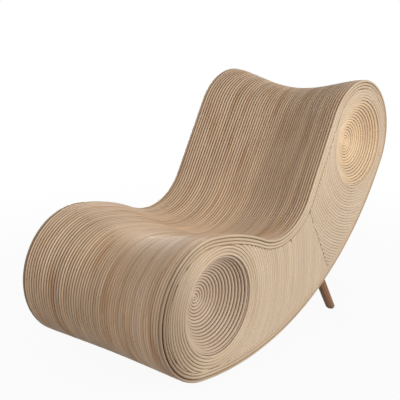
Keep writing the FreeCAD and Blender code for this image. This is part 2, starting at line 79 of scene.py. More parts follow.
SIDES = 12  # points round a cane
SHARP = math.radians(60)  # least angle of an edge that stays sharp, at the ends of a cane
RING_GAP = 0.002  # least distance of a ring from the end of its cane, in metres
SCAN_STEP = 0.001  # step along an outline where it is searched, in metres
EDGE_STEP = 0.0015  # most between two points of a region's edge, in metres
THINNING = 0.2  # share of the gap beside it by which a cane is thinner in places
SLIVER = 0.35  # how far past the edge of its region the middle of a facing cane may lie, in diameters
SHORTEST = 0.8  # shortest facing cane, in diameters
LONGEST_CUT = 3  # most that the cut at the end of a facing cane slants, in diameters
FACING_STEP = 0.014  # most between two rings of a facing cane, in metres
FACING_TURN = math.radians(4)  # most that a facing cane turns from one ring to the next
COIL_RINGS = 72  # rings in one turn of a coil
SENSOR = 36.0  # width of the camera's sensor, in millimetres


def number(name, description, default, **more):
    return FloatProperty(name=name, description=description, default=default, **more)


def share(name, description, default):
    return number(name, description, default, min=0.0)


def power(name, description, default):
    return number(name, description, default, unit="POWER")


def length(name, description, default):
    """A size that a user may change, in metres."""
    return number(name, description, default, unit="LENGTH", precision=4)


def place(name, description, default):
    return FloatVectorProperty(
        name=name, description=description, default=default, subtype="XYZ", unit="LENGTH", precision=4
    )


def linear(level):
    """Scene-linear value of a display level from 0 to 255."""
    level /= 255
    return level / 12.92 if level <= 0.04045 else ((level + 0.055) / 1.055) ** 2.4


def colour(name, description, red, green, blue):
    """A colour that a user may change, given in display levels."""
    default = (linear(red), linear(green), linear(blue))
    return FloatVectorProperty(
        name=name, description=description, default=default, subtype="COLOR", min=0.0, max=1.0
    )


class ArmchairShape(bpy.types.PropertyGroup):
    """Side outline of the body, and how far it dips towards mid width."""

    width: length("Width", "Over the side faces", CAD_SIZE.x)
    depth: length("Depth", "From the front roll to the top roll", CAD_SIZE.y)
    height: length("Height", "From the floor to the top roll", CAD_SIZE.z)
    floor_clearance: length("Floor clearance", "Air under the lowest rim cane", 0.003)
    front_roll: length("Front roll", "Radius of the front roll at the rim", 0.2245)
    top_roll: length("Top roll", "Radius of the top roll at the rim", 0.2115)
    seat_height: length("Seat height", "Lowest point of the rim at the seat", 0.3735)
    seat_curve: length("Seat curve", "Radius of the hollow of the seat at the rim", 0.202)
    seat_place: length("Seat place", "Middle of the seat's curve, along the depth", -0.065)
    shoulder: length("Shoulder", "Radius of the arc from the front roll to the seat", 0.808)
    belly: length("Belly", "Radius of the long arc underneath", 1.061)
    front_saddle: length("Front saddle", "Dip of the front roll at mid width", 0.024)
    seat_saddle: length("Seat saddle", "Dip of the seat at mid width", 0.0405)
    top_saddle: length("Top saddle", "Dip of the top roll at mid width", 0.052)
    saddle_power: share("Saddle power", "Above 1 the dip runs out flatter towards the rim", 1.7)


class ArmchairCanes(bpy.types.PropertyGroup):
    """Canes and the way they lie."""

    diameter: length("Cane", "Diameter of a cane", 0.010)
    gap: length("Gap", "Air between canes side by side", 0.00033)
    rim_count: IntProperty(name="Rim canes", description="Canes round each side face", default=3, min=1)
    rim_groove: length("Rim groove", "Shadow gap between the corner cane and the other rim canes", 0.004)
    joint_gap: length("Butt joint", "Gap between the ends of a cane", 0.0008)
    joint_shift: share("Joint stagger", "Stagger of the joints, as a share of the belly", 0.04)
    node_spacing: length("Node spacing", "Usual distance between two growth nodes of a cane", 0.34)
    node_swell: length("Node swell", "How far a growth node stands proud", 0.00014)
    unevenness: length("Unevenness", "How far a cane strays from its line", 0.00022)
    front_dish: length("Front dish", "Radius of the front dish at its lip", 0.156)
    front_dish_depth: length("Front dish depth", "Depth of the front dish", 0.098)
    top_dish: length("Top dish", "Radius of the top dish at its lip", 0.157)
    top_dish_depth: length("Top dish depth", "Depth of the top dish", 0.060)
    coil_gap: length("Coil gap", "Air between the turns of a coil", 0.0005)
    coil_start: length("Coil start", "Radius at which a coil starts", 0.0053)
    front_round_ring: length("Front round ring", "Ring of facing canes left round at the front dish", 0.05)
    top_round_ring: length("Top round ring", "Ring of facing canes left round at the top dish", 0.02)
    planing: share("Planing", "How square the facing canes are where they are planed flush", 0.7)
    seam_reach: length("Seam reach", "From the front dish to the seam, towards the top dish", 0.526)
    seam_tilt: number(
        "Seam tilt", "From square to the line between the dishes", math.radians(5.6), subtype="ANGLE"
    )
    leg_splay: share("Leg splay", "Run of a leg per unit of height, sideways and back", 0.29)
    leg_hole: length("Leg hole", "Radius of the hole that a leg passes through", 0.019)

    @property
    def radius(self):
        return self.diameter / 2

    @property
    def pitch(self):
        """From the middle of one cane to the middle of the next."""
        return self.diameter + self.gap


class ArmchairColours(bpy.types.PropertyGroup):
    """Colours of the finishes."""

    wrap: colour("Wrap canes", "Peeled rattan of the seat and the back", 226, 194, 160)
    rim: colour("Rim canes", "Peeled rattan round the side faces", 214, 190, 160)
    face: colour("Facing canes", "Peeled rattan of the side faces", 217, 194, 165)
    front_dish: colour("Front dish", "Peeled rattan of the front dishes", 208, 186, 163)
    # Painted light: the top dishes get paler rattan than the front dishes, to lighten their shaded bowls
    top_dish: colour("Top dish", "Peeled rattan of the top dishes", 232, 205, 169)
    ripe: colour("Ripe patches", "Orange brown of riper stretches of cane", 176, 124, 76)
    ashen: colour("Ashen patches", "Greyish pink of weathered stretches of cane", 206, 178, 158)
    bark: colour("Bark", "Brown of growth nodes and pores", 112, 80, 54)
    # Painted shade: the brown laid on the flanks between canes, standing in for the shade in the grooves
    gap_shade_colour: colour("Gaps", "Brown of the stain between canes", 92, 64, 42)
    leg: colour("Legs", "Stained wood of the legs", 148, 106, 74)
    leg_dark: colour("Leg grain", "Dark grain of the legs", 92, 60, 40)
    plywood: colour("Plywood", "Panels, ribs and deck", 196, 166, 124)
    veneer: colour("Veneer", "Darker layers of the plywood", 158, 122, 82)
    rail: colour("Rails", "Rails and leg blocks", 190, 150, 108)
    steel: colour("Steel", "Bolts, screws and washers", 176, 176, 172)
    glide: colour("Glides", "Nail-on glides", 62, 52, 44)


class ArmchairStage(bpy.types.PropertyGroup):
    """Camera, floor and light."""

    camera_place: place("Camera", "Where the camera stands", (1.70528, -2.195, 1.2037))
    camera_target: place("Target", "What the camera and the lights point at", (0.0, -0.1137, 0.4714))
    lens: number("Lens", "Focal length on a 36 mm sensor", 73.155, unit="CAMERA")
    shift_across: number("Shift X", "Shift of the lens", -0.00125)
    shift_up: number("Shift Y", "Shift of the lens", -0.00715)
    key_place: place("Key light", "Where the key light hangs", (3.1, -0.05, 1.6))
    key_size: length("Key size", "Side of the key light", 1.2)
    key_power: power("Key power", "Power of the key light", 80.0)
    fill_place: place("Fill light", "Where the fill light hangs", (0.0, -3.2, 1.7))
    fill_size: length("Fill size", "Side of the fill light", 0.8)
    fill_power: power("Fill power", "Power of the fill light", 29.0)
    rear_place: place("Rear light", "Where the rear light stands", (-2.7, 1.5, 0.8))
    rear_size: length("Rear size", "Side of the rear light", 1.5)
    rear_power: power("Rear power", "Power of the rear light", 60.0)
    ambient: share("Ambient", "Strength of the light from all round", 0.155)
    floor_size: length("Floor", "Side of the floor", 24.0)
    floor_paper: share("Floor paper", "How much light the floor throws back", 0.4)
    floor_shade: share("Floor shade", "Share of its own shade that the floor shows near the chair", 0.06)
    shade_start: length("Shade start", "From mid floor to where that shade starts to fade", 0.5)
    shade_end: length("Shade end", "From mid floor to where that shade has faded", 2.2)


def quarter_turn(way):
    """Directions in the side view, turned a quarter to the left."""
    return np.stack([-way[..., 1], way[..., 0]], -1)


class Arc:
    """A stretch of a circle in the side view."""

    def __init__(self, centre, radius, start, end):
        self.centre = np.array(centre)
        self.radius = radius
        self.start = start
        self.way = math.copysign(1.0, end - start)
        self.turn = abs(end - start)
        self.length = radius * self.turn

    def at(self, run):
        """Place and direction at a length along the stretch."""
        angle = self.start + self.way * run / self.radius
        outward = np.stack([np.cos(angle), np.sin(angle)], -1)
        onward = self.way * quarter_turn(outward)
        return self.centre + self.radius * outward, onward


class Line:
    """A straight stretch in the side view."""

    def __init__(self, start, end):
        self.start = np.array(start)
        self.length = float(np.linalg.norm(end - start))
        self.onward = (end - start) / self.length
        self.turn = 0.0

    def at(self, run):
        onward = np.broadcast_to(self.onward, (*np.shape(run), 2))
        return self.start + onward * np.asarray(run)[..., None], onward


def place_from(first, to_first, second, to_second, side):
    """The place at given distances from two others, on one side of the line between them."""
    line = second - first
    apart = np.linalg.norm(line)
    along = (to_first**2 - to_second**2 + apart**2) / (2 * apart)
    across = side * math.sqrt(to_first**2 - along**2)
    return first + (line * along + quarter_turn(line) * across) / apart


def direction(start, end):
    return math.atan2(end[1] - start[1], end[0] - start[0])


def down_to(angle, limit):
    """The same direction as angle, at most one turn below limit."""
    return limit - (limit - angle) % TURN


class Outline:
    """Side outline at one share of the saddle, pulled in by inset, as a closed path of six stretches."""

    ring_turn = math.radians(3.2)  # most that the outline turns from one ring of a cane to the next
    ring_step = 0.024  # most between two rings of a cane, in metres
    belly = 5  # which of the stretches runs underneath
    # Share of the rim groove that is open, at a number of stretches from the start of the front roll
    groove_knots = (0, 0.25, 0.45, 0.6, 0.8, 1, 2, 2.5, 3.5, 4.2, 4.5, 6)
    groove_shares = (0.06, 0.5, 1, 0.8, 0.25, 0.06, 0.04, 0.12, 0.16, 0.06, 0.03, 0.06)

    def __init__(self, shape, saddle, inset):
        front_radius = shape.front_roll - shape.front_saddle * saddle
        dip_radius = shape.seat_curve + shape.seat_saddle * saddle
        top_radius = shape.top_roll - shape.top_saddle * saddle
        front = np.array([shape.front_roll - shape.depth / 2, front_lift(shape) + front_radius])
        seat = np.array([shape.seat_place, shape.seat_height + shape.seat_curve])
        top = np.array([shape.depth / 2 - shape.top_roll, shape.height - shape.top_roll])
        belly = place_from(front, shape.belly - front_radius, top, shape.belly - top_radius, 1)
        to_seat = shape.shoulder + dip_radius
        shoulder = place_from(front, shape.shoulder - front_radius, seat, to_seat, -1)
        rise = direction(shoulder, front)
        fall = down_to(direction(shoulder, seat), rise)
        apart = np.linalg.norm(top - seat)
        lean = direction(seat, top) - math.acos((dip_radius + top_radius) / apart)
        under_front = direction(belly, front)
        top_end = down_to(direction(belly, top), lean + math.pi)
        roll = Arc(front, front_radius - inset, down_to(under_front, rise + TURN), rise)
        dip = Arc(seat, dip_radius + inset, down_to(fall - math.pi, lean), lean)
        head = Arc(top, top_radius - inset, lean + math.pi, top_end)
        under = Arc(belly, shape.belly - inset, top_end, down_to(under_front, top_end))
        back = Line(dip.at(np.array(dip.length))[0], head.at(np.array(0.0))[0])
        slope = Arc(shoulder, shape.shoulder - inset, rise, fall)
        self.stretches = [roll, slope, dip, back, head, under]
        self.starts = np.cumsum([0.0] + [part.length for part in self.stretches])
        self.length = float(self.starts[-1])

    def at(self, run):
        """Places and directions at lengths along the outline."""
        run = np.asarray(run) % self.length
        which = np.searchsorted(self.starts, run, side="right") - 1
        spot = np.empty((*run.shape, 2))
        onward = np.empty((*run.shape, 2))
        for k, part in enumerate(self.stretches):
            here = which == k
            spot[here], onward[here] = part.at(run[here] - self.starts[k])
        return spot, onward

    def rings(self):
        """Lengths along the outline that are close enough for a smooth cane."""
        found = []
        for start, part in zip(self.starts, self.stretches):
            count = math.ceil(max(part.turn / self.ring_turn, part.length / self.ring_step))
            found.append(start + part.length * np.arange(count) / count)
        return np.concatenate(found)

    def rings_between(self, start, end):
        """The rings from start to end, which may lie past the closing point."""
        rings = self.rings()
        several = np.concatenate([rings - self.length, rings, rings + self.length])
        inside = several[(several > start + RING_GAP) & (several < end - RING_GAP)]
        return np.concatenate([[start], inside, [end]])

    def groove(self, run):
        """Share of the rim groove that is open at lengths along the outline."""
        places = np.interp(self.groove_knots, np.arange(len(self.starts)), self.starts)
        return np.interp(run % self.length, places, self.groove_shares)

    def ends(self, canes, stagger):
        """Where a cane starts and ends: its butt joint is this share of the belly away from mid belly."""
        under = self.stretches[self.belly].length
        joint = self.starts[self.belly] + under * (0.5 + stagger) - self.length
        return joint + canes.joint_gap / 2, joint - canes.joint_gap / 2 + self.length


def front_lift(shape):
    """Height of the front roll that leaves the floor clearance under the whole rim."""
    lift = shape.floor_clearance
    top = np.array([shape.depth / 2 - shape.top_roll, shape.height - shape.top_roll])
    for _ in range(30):  # it settles well before the last round
        front = np.array([shape.front_roll - shape.depth / 2, lift + shape.front_roll])
        belly = place_from(front, shape.belly - shape.front_roll, top, shape.belly - shape.top_roll, 1)
        lowest = belly[1] - shape.belly if belly[0] > front[0] else lift
        lift += shape.floor_clearance - lowest
    return lift


def saddle_at(shape, x):
    """How much of the dip there is at x: 0 at the rim, 1 at mid width."""
    return (1 - (2 * x / shape.width) ** 2) ** shape.saddle_power


class Dish:
    """A coiled dish of the left side face: a bowl that is the cap of a sphere, placed by its cup."""

    planed_turn = 0.6  # how far round a dish the planing reaches from behind it, 0 for half a turn

    def __init__(self, node, radius, depth, round_ring, planed_ahead):
        low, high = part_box(node)
        self.centre = np.array([(low.y + high.y) / 2, (low.z + high.z) / 2])
        self.radius = radius
        self.sphere = (radius**2 + depth**2) / (2 * depth)
        self.outside = self.sphere - depth  # from the side face to the sphere's middle
        self.lip = 2 * math.atan(depth / radius)  # angle from the sphere's axis to the lip
        self.round_ring = round_ring
        self.planed_ahead = planed_ahead

    def planed(self, radius, angle):
        """How far the facing canes are planed flush at a place: 0 where they stay round, 1 where flat."""
        away = np.clip((radius - self.radius) / self.round_ring, 0.0, 1.0)
        return away * np.clip(self.planed_turn + np.cos(angle), self.planed_ahead, 1.0)

    def points(self, x, reach, angle):
        """Points at places across the width, distances from the middle of the dish and angles about it."""
        spots = (x, self.centre[0] + reach * np.cos(angle), self.centre[1] + reach * np.sin(angle))
        return np.stack(np.broadcast_arrays(*spots), -1)


def dishes(canes):
    """The front dish, with canes left round ahead of it, and the top dish, with canes planed all about."""
    front_sizes = (canes.front_dish, canes.front_dish_depth, canes.front_round_ring)
    top_sizes = (canes.top_dish, canes.top_dish_depth, canes.top_round_ring)
    front = Dish("front_dish_cup_left", *front_sizes, planed_ahead=0.0)
    top = Dish("top_dish_cup_left", *top_sizes, planed_ahead=1.0)
    return front, top


class CaneBundle:
    """Canes that make one piece. Each cane is a grid of points, rings along it by sides round it."""

    map_margin = 0.002  # air between the strips of the map, in metres
    map_spare = 1.06  # room that the strips need beyond their own area
    cap_spacing = 1.2  # from the edge of the map's column to the middle of the first cap, in radii

    def __init__(self, side="left"):
        self.canes = []
        self.mirrored = side == "right"

    def add(self, points, along, radius, seed, node, facing=0.0):
        """One cane: points, lengths along it, its radius, a number of its own, its growth nodes and the
        angle round it that faces out of the piece."""
        turn = TURN * np.arange(SIDES) / SIDES - facing
        grain = np.empty(points.shape)
        grain[..., 0] = along
        grain[..., 1] = radius * np.cos(turn)
        grain[..., 2] = radius * np.sin(turn)
        node = np.broadcast_to(node, points.shape[:2])
        if self.mirrored:
            points = points[:, ::-1] * np.array([-1.0, 1.0, 1.0])
            grain, node = grain[:, ::-1], node[:, ::-1]
        self.canes.append((points, grain, np.full(node.shape, seed), node))

    def object(self, name, finish, replaced):
        """The piece, as a mesh object that rides on the body."""
        grids, grains, seeds, nodes = zip(*self.canes)
        counts = [len(grid) for grid in grids]
        firsts = np.cumsum([0] + counts) * SIDES
        ring = np.arange(SIDES)
        quads = []
        caps = []
        for first, count in zip(firsts, counts):
            starts = first + np.arange(count - 1)[:, None] * SIDES
            low, beside = starts + ring, starts + (ring + 1) % SIDES
            quads.append(np.stack([low, beside, beside + SIDES, low + SIDES], -1).reshape(-1, 4))
            caps += [first + ring[::-1], first + (count - 1) * SIDES + ring]
        mesh = bpy.data.meshes.new(name)
        points = np.concatenate([grid.reshape(-1, 3) for grid in grids])
        mesh.from_pydata(points, [], np.concatenate(quads).tolist() + np.array(caps).tolist())
        mesh.validate()
        self.write(mesh, "cane_grain", "FLOAT_VECTOR", "vector", grains)
        self.write(mesh, "cane_seed", "FLOAT", "value", seeds)
        self.write(mesh, "cane_node", "FLOAT", "value", nodes)
        self.unroll(mesh, grains)
        mesh.set_sharp_from_angle(angle=SHARP)
        mesh.materials.append(finish)
        piece = bpy.data.objects.new(name, mesh)
        bpy.context.scene.collection.objects.link(piece)
        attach(piece, BODY)
        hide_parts(replaced)

    def write(self, mesh, name, kind, field, grids):
        values = np.concatenate([grid.ravel() for grid in grids])
        mesh.attributes.new(name, kind, "POINT").data.foreach_set(field, values.astype(np.float32))

    def unroll(self, mesh, grains):
        """A map of strips: each cane is slit lengthwise, cut in runs and laid flat beside the others."""
        girths = [TURN * np.abs(grain[..., 1:]).max() for grain in grains]
        column = max(girths) + self.map_margin
        total = sum(np.ptp(grain[..., 0]) for grain in grains)
        side = math.sqrt(total * column) * self.map_spare + 4 * column
        ring = np.arange(SIDES + 1) / SIDES
        circle = np.stack([np.cos(ring[:-1] * TURN), np.sin(ring[:-1] * TURN)], -1)
        strips = []
        caps = []
        across = 0.0
        up = 0.0
        for grain, girth in zip(grains, girths):
            along = grain[:, 0, 0]
            lift = up - along[0]
            strip = np.empty((len(along) - 1, SIDES, 4, 2))
            for quads, low, high in zip(strip, along, along[1:]):
                if lift + high > side:
                    across += column
                    lift = -low
                edges = across + ring * girth
                quads[:, 0, 0] = quads[:, 3, 0] = edges[:-1]
                quads[:, 1, 0] = quads[:, 2, 0] = edges[1:]
                quads[:, :2, 1] = lift + low
                quads[:, 2:, 1] = lift + high
            strips.append(strip.reshape(-1, 2))
            up = lift + along[-1] + self.map_margin
            disc = girth / TURN
            if up + 2 * disc > side:
                across += column
                up = 0.0
            for step in (1, 3):
                caps.append(disc * circle + (across + step * disc * self.cap_spacing, up + disc))
            up += 2 * disc + self.map_margin
        places = np.concatenate(strips + caps)
        places /= max(places.max(), side)
        layer = mesh.uv_layers.new(name="OFBake")
        layer.uv.foreach_set("vector", places.astype(np.float32).ravel())


class CaneMaker:
    """Draws the growth and the strays of canes, one cane after another."""

    waves = ((0.8, 0.5), (0.47, 0.3), (0.29, 0.2))  # length, as a share of a scale, and size of waves
    node_width = 0.0026  # from the middle of a growth node to where it has mostly faded, in metres
    node_rings = (-0.005, -0.0025, 0.0, 0.0025, 0.005)  # rings at a growth node, in metres from its middle
    ring_apart = 0.0015  # least distance of another ring from those, in metres
    first_node = (0.1, 1.0)  # least and most from the start of a cane to its first node, in node spacings
    next_node = (0.7, 1.3)  # least and most from one node to the next, in node spacings

    def __init__(self, canes, seed):
        self.canes = canes
        self.random = np.random.default_rng(seed)
        self.radius = canes.radius
        self.turn = TURN * np.arange(SIDES) / SIDES

    def wave(self, run, scale):
        """A smooth stray between about -1 and 1 along a cane."""
        total = np.zeros(np.shape(run))
        for part, size in self.waves:
            total += size * np.sin(run * TURN / (scale * part) + self.random.uniform(0, TURN))
        return total

    def nodes(self, start, end):
        """Places of the growth nodes between two lengths."""
        found = []
        spot = start + self.canes.node_spacing * self.random.uniform(*self.first_node)
        while spot < end:
            found.append(spot)
            spot += self.canes.node_spacing * self.random.uniform(*self.next_node)
        return np.array(found)

    def with_nodes(self, rings, nodes):
        """The rings with a few more at each growth node, and none too close together."""
        extra = np.concatenate([nodes + offset for offset in self.node_rings])
        extra = extra[(extra > rings[0] + RING_GAP) & (extra < rings[-1] - RING_GAP)]
        kept = [ring for ring in rings[1:-1] if np.abs(extra - ring).min(initial=1.0) > self.ring_apart]
        return np.sort(np.concatenate([rings[:1], kept, extra, rings[-1:]]))

    def swell(self, run, nodes):
        """1 at a growth node, falling to 0 beside it."""
        nearest = np.abs(np.asarray(run)[..., None] - nodes).min(-1, initial=1.0)
        return np.exp(-((nearest / self.node_width) ** 2))


class WrapPath:
    """The way of one wrap cane or rim cane round the body, at one place across the width."""

    waves = ((3, 0.45), (7, 0.35), (17, 0.2))  # count in one turn and size of the waves of a stray

    def __init__(self, outline, x, maker, ends, groove=0.0):
        self.outline = outline
        self.x = x
        self.maker = maker
        self.start, self.end = ends
        self.nodes = maker.nodes(*ends)
        self.groove = groove
        self.phases = maker.random.uniform(0, TURN, 2 * len(self.waves))

    def stray(self, run, first):
        """A smooth stray between about -1 and 1, the same at both ends of the outline."""
        turn = TURN * run / self.outline.length
        phases = self.phases[first : first + len(self.waves)]
        return sum(size * np.sin(count * turn + phase) for (count, size), phase in zip(self.waves, phases))

    def points(self, run):
        """Points round the cane: run has a column for each side."""
        maker, canes = self.maker, self.maker.canes
        spot, onward = self.outline.at(run)
        outward = quarter_turn(onward)
        radius = maker.radius - canes.gap * THINNING * self.stray(run, 0) ** 2
        radius = radius + canes.node_swell * maker.swell(run, self.nodes)
        lift = canes.unevenness * (self.stray(run, len(self.waves)) - 1)
        lift = lift - self.groove * self.outline.groove(run)
        found = np.empty((*run.shape, 3))
        found[..., 0] = self.x + radius * np.sin(maker.turn)
        found[..., 1:] = spot + outward * (radius * np.cos(maker.turn) + lift)[..., None]
        return found


class LegHole:
    """The hole that a leg passes through, on one side."""

    reach = 0.2  # how far aside of the foot a cane may meet the hole, in metres
    half_length = 0.045  # length of cane with finer rings, on each side of the hole's middle, in metres
    ring_step = 0.003

    def __init__(self, canes, side):
        low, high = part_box("foot_glide_left")
        foot = (low + high) / 2
        self.foot = np.array([side * foot.x, foot.y, low.z])
        self.up = np.array([-side * canes.leg_splay, -canes.leg_splay, 1.0])
        self.up /= np.linalg.norm(self.up)
        self.radius = canes.leg_hole
        self.end = (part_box("leg_left")[1].z - low.z) / self.up[2]

    def from_axis(self, points):
        """Lengths along the leg, the ways along it to there, and the ways from there to points."""
        offset = points - self.foot
        along = offset @ self.up
        onward = along[..., None] * self.up
        return along, onward, offset - onward

    def distance(self, points):
        """How far points are outside the hole."""
        along, _, away = self.from_axis(points)
        return np.maximum(np.linalg.norm(away, axis=-1) - self.radius, along - self.end)

    def push_out(self, points):
        """Moves points that are in the hole to its wall."""
        _, onward, away = self.from_axis(points)
        apart = np.linalg.norm(away, axis=-1, keepdims=True)
        return self.foot + onward + away * np.maximum(1.0, self.radius / apart)

    def rings(self, middle):
        """Finer rings where a cane meets the hole."""
        return np.arange(middle - self.half_length, middle + self.half_length, self.ring_step)


def add_wrap_cane(bundle, path, holes=(), facing=0.0):
    """One cane along its path, cut where a leg passes through it."""
    maker = path.maker
    seed = maker.random.random()
    holes = [hole for hole in holes if abs(path.x - hole.foot[0]) < hole.reach]
    rings = maker.with_nodes(path.outline.rings_between(path.start, path.end), path.nodes)
    scan = np.arange(path.start, path.end, SCAN_STEP)
    bounds = [np.full(SIDES, path.start)]
    for hole in holes:
        apart = hole.distance(path.points(np.repeat(scan[:, None], SIDES, 1)))
        inside = apart < 0
        if inside.any():
            rings = np.sort(np.concatenate([rings, hole.rings(scan[apart.min(1).argmin()])]))
        if inside.any(0).all():
            bounds.append(scan[np.argmax(inside, 0)])
            bounds.append(scan[len(scan) - 1 - np.argmax(inside[::-1], 0)])
    bounds.append(np.full(SIDES, path.end))
    for low, high in zip(bounds[::2], bounds[1::2]):
        between = rings[(rings > low.max() + SCAN_STEP) & (rings < high.min() - SCAN_STEP)]
        run = np.vstack([low[None], np.repeat(between[:, None], SIDES, 1), high[None]])
        points = path.points(run)
        for hole in holes:
            inside = hole.distance(points) < 0
            points[inside] = hole.push_out(points[inside])
        bundle.add(points, run, maker.radius, seed, maker.swell(run, path.nodes), facing)


def region_of(shape, canes, front, top, way):
    """Edge of the part of a side face that lies on one side of its seam, as a closed line of points."""
    outline = Outline(shape, 0.0, canes.rim_count * canes.pitch)
    run = np.arange(0.0, outline.length, SCAN_STEP)
    spot, onward = outline.at(run)
    spot -= quarter_turn(onward) * (canes.rim_groove * outline.groove(run))[:, None]
    line = (top.centre - front.centre) / np.linalg.norm(top.centre - front.centre)
    past_seam = line * math.cos(canes.seam_tilt) + quarter_turn(line) * math.sin(canes.seam_tilt)
    middle = front.centre + line * canes.seam_reach
    beyond = (spot - middle) @ past_seam * way - canes.gap / 2
    kept = []
    for k in range(len(spot)):
        after = (k + 1) % len(spot)
        if beyond[k] >= 0:
            kept.append(spot[k])
        if (beyond[k] >= 0) != (beyond[after] >= 0):
            part = beyond[k] / (beyond[k] - beyond[after])
            kept.append(spot[k] + (spot[after] - spot[k]) * part)
    return densely(np.array(kept))


def densely(corners):
    """The closed line with its long straight runs divided."""
    found = []
    for start, end in zip(corners, np.roll(corners, -1, 0)):
        count = max(1, math.ceil(np.linalg.norm(end - start) / EDGE_STEP))
        found.append(start + (end - start) * (np.arange(count) / count)[:, None])
    return np.concatenate(found)


def half_turn(angle):
    """The same direction as angle, at most half a turn from 0."""
    return (angle + math.pi) % TURN - math.pi


class Region:
    """A part of a side face, seen from the middle of the dish that its canes go round."""

    def __init__(self, corners, centre):
        offset = corners - centre
        self.reach = np.hypot(offset[:, 0], offset[:, 1])
        self.angle = np.unwrap(np.arctan2(offset[:, 1], offset[:, 0]))

    def crossings(self, radius):
        """Angles at which a circle crosses the edge."""
        outside = self.reach < radius
        where = np.nonzero(outside != np.roll(outside, -1))[0]
        beside = (where + 1) % len(self.reach)
        part = (radius - self.reach[where]) / (self.reach[beside] - self.reach[where])
        return (self.angle[where] + part * half_turn(self.angle[beside] - self.angle[where])) % TURN

    def edges(self, angle):
        """Distances from the middle at which the edge is met at an angle."""
        offset = half_turn(self.angle - angle)
        after = np.roll(offset, -1)
        met = ((offset < 0) != (after < 0)) & (np.abs(after - offset) < math.pi)
        part = offset[met] / (offset[met] - after[met])
        return self.reach[met] + (np.roll(self.reach, -1)[met] - self.reach[met]) * part

    def next_edge(self, angles, beyond):
        """How far from the middle the first edge beyond a distance is, at angles round it."""
        met = [self.edges(angle) for angle in angles]
        return np.array([reach[reach > beyond].min(initial=self.reach.max()) for reach in met])

    def holds(self, radius, angle):
        """True where a place lies in the region."""
        return (self.edges(angle) > radius).sum() % 2 == 1

    def spans(self, radius):
        """Stretches of a circle that lie in the region, as pairs of angles, or None for a whole circle."""
        angles = np.sort(self.crossings(radius))
        if not len(angles):
            return [None] if self.holds(radius, 0.0) else []
        found = []
        for start, end in zip(angles, np.roll(angles, -1)):
            end = start + (end - start) % TURN
            if self.holds(radius, (start + end) / 2):
                found.append((start, end))
        return found

    def nearest(self, radius, angle, limit):
        """The crossing of a circle that is nearest to an angle, or the angle itself if none is near."""
        offset = half_turn(self.crossings(radius) - angle)
        near = offset[np.abs(offset) < limit]
        return angle + near[np.abs(near).argmin()] if len(near) else angle


def signed_power(value, exponent):
    return np.sign(value) * np.abs(value) ** exponent


def add_facing_cane(bundle, maker, dish, region, radius, span, face_x):
    """One arc of cane about a dish, its ends cut along the edge of the region."""
    thin_wave, lift_wave = 0.5, 0.7  # scales of the waves along the cane, in metres
    calm = 0.8  # how far it strays, as a share of what a wrap cane does
    canes = maker.canes
    if span is None:
        joint = canes.joint_gap / radius
        start = maker.random.uniform(0.0, TURN)
        low = np.full(SIDES, start + joint / 2)
        high = np.full(SIDES, start + TURN - joint / 2)
    else:
        limit = LONGEST_CUT * canes.diameter / radius
        circles = radius + maker.radius * np.sin(maker.turn)
        low, high = (np.array([region.nearest(at, angle, limit) for at in circles]) for angle in span)
    turn = high.mean() - low.mean()
    total = radius * turn
    if total < SHORTEST * canes.diameter:
        return
    count = max(3, math.ceil(total / FACING_STEP), math.ceil(turn / FACING_TURN))
    nodes = maker.nodes(0.0, total)
    run = maker.with_nodes(total * np.arange(count + 1) / count, nodes)
    angle = low + (high - low) * (run / total)[:, None]
    swell = maker.swell(run, nodes)[:, None]
    stray = maker.wave(run, thin_wave)[:, None]
    lift = canes.unevenness * (maker.wave(run, lift_wave)[:, None] - 1) * calm
    thick = maker.radius + canes.node_swell * swell - canes.gap * THINNING * stray**2
    roundness = 1 - canes.planing * dish.planed(radius, angle)
    reach = radius + thick * signed_power(np.sin(maker.turn), roundness)
    spread = np.linspace(low.min(), high.max(), 2 * count + 1)
    edge = np.interp(angle, spread, region.next_edge(spread, radius - maker.radius))
    reach = np.minimum(reach, edge - canes.gap / 2)
    x = face_x + lift + thick * signed_power(np.cos(maker.turn), roundness)
    bundle.add(dish.points(x, reach, angle), run[:, None], maker.radius, maker.random.random(), swell)


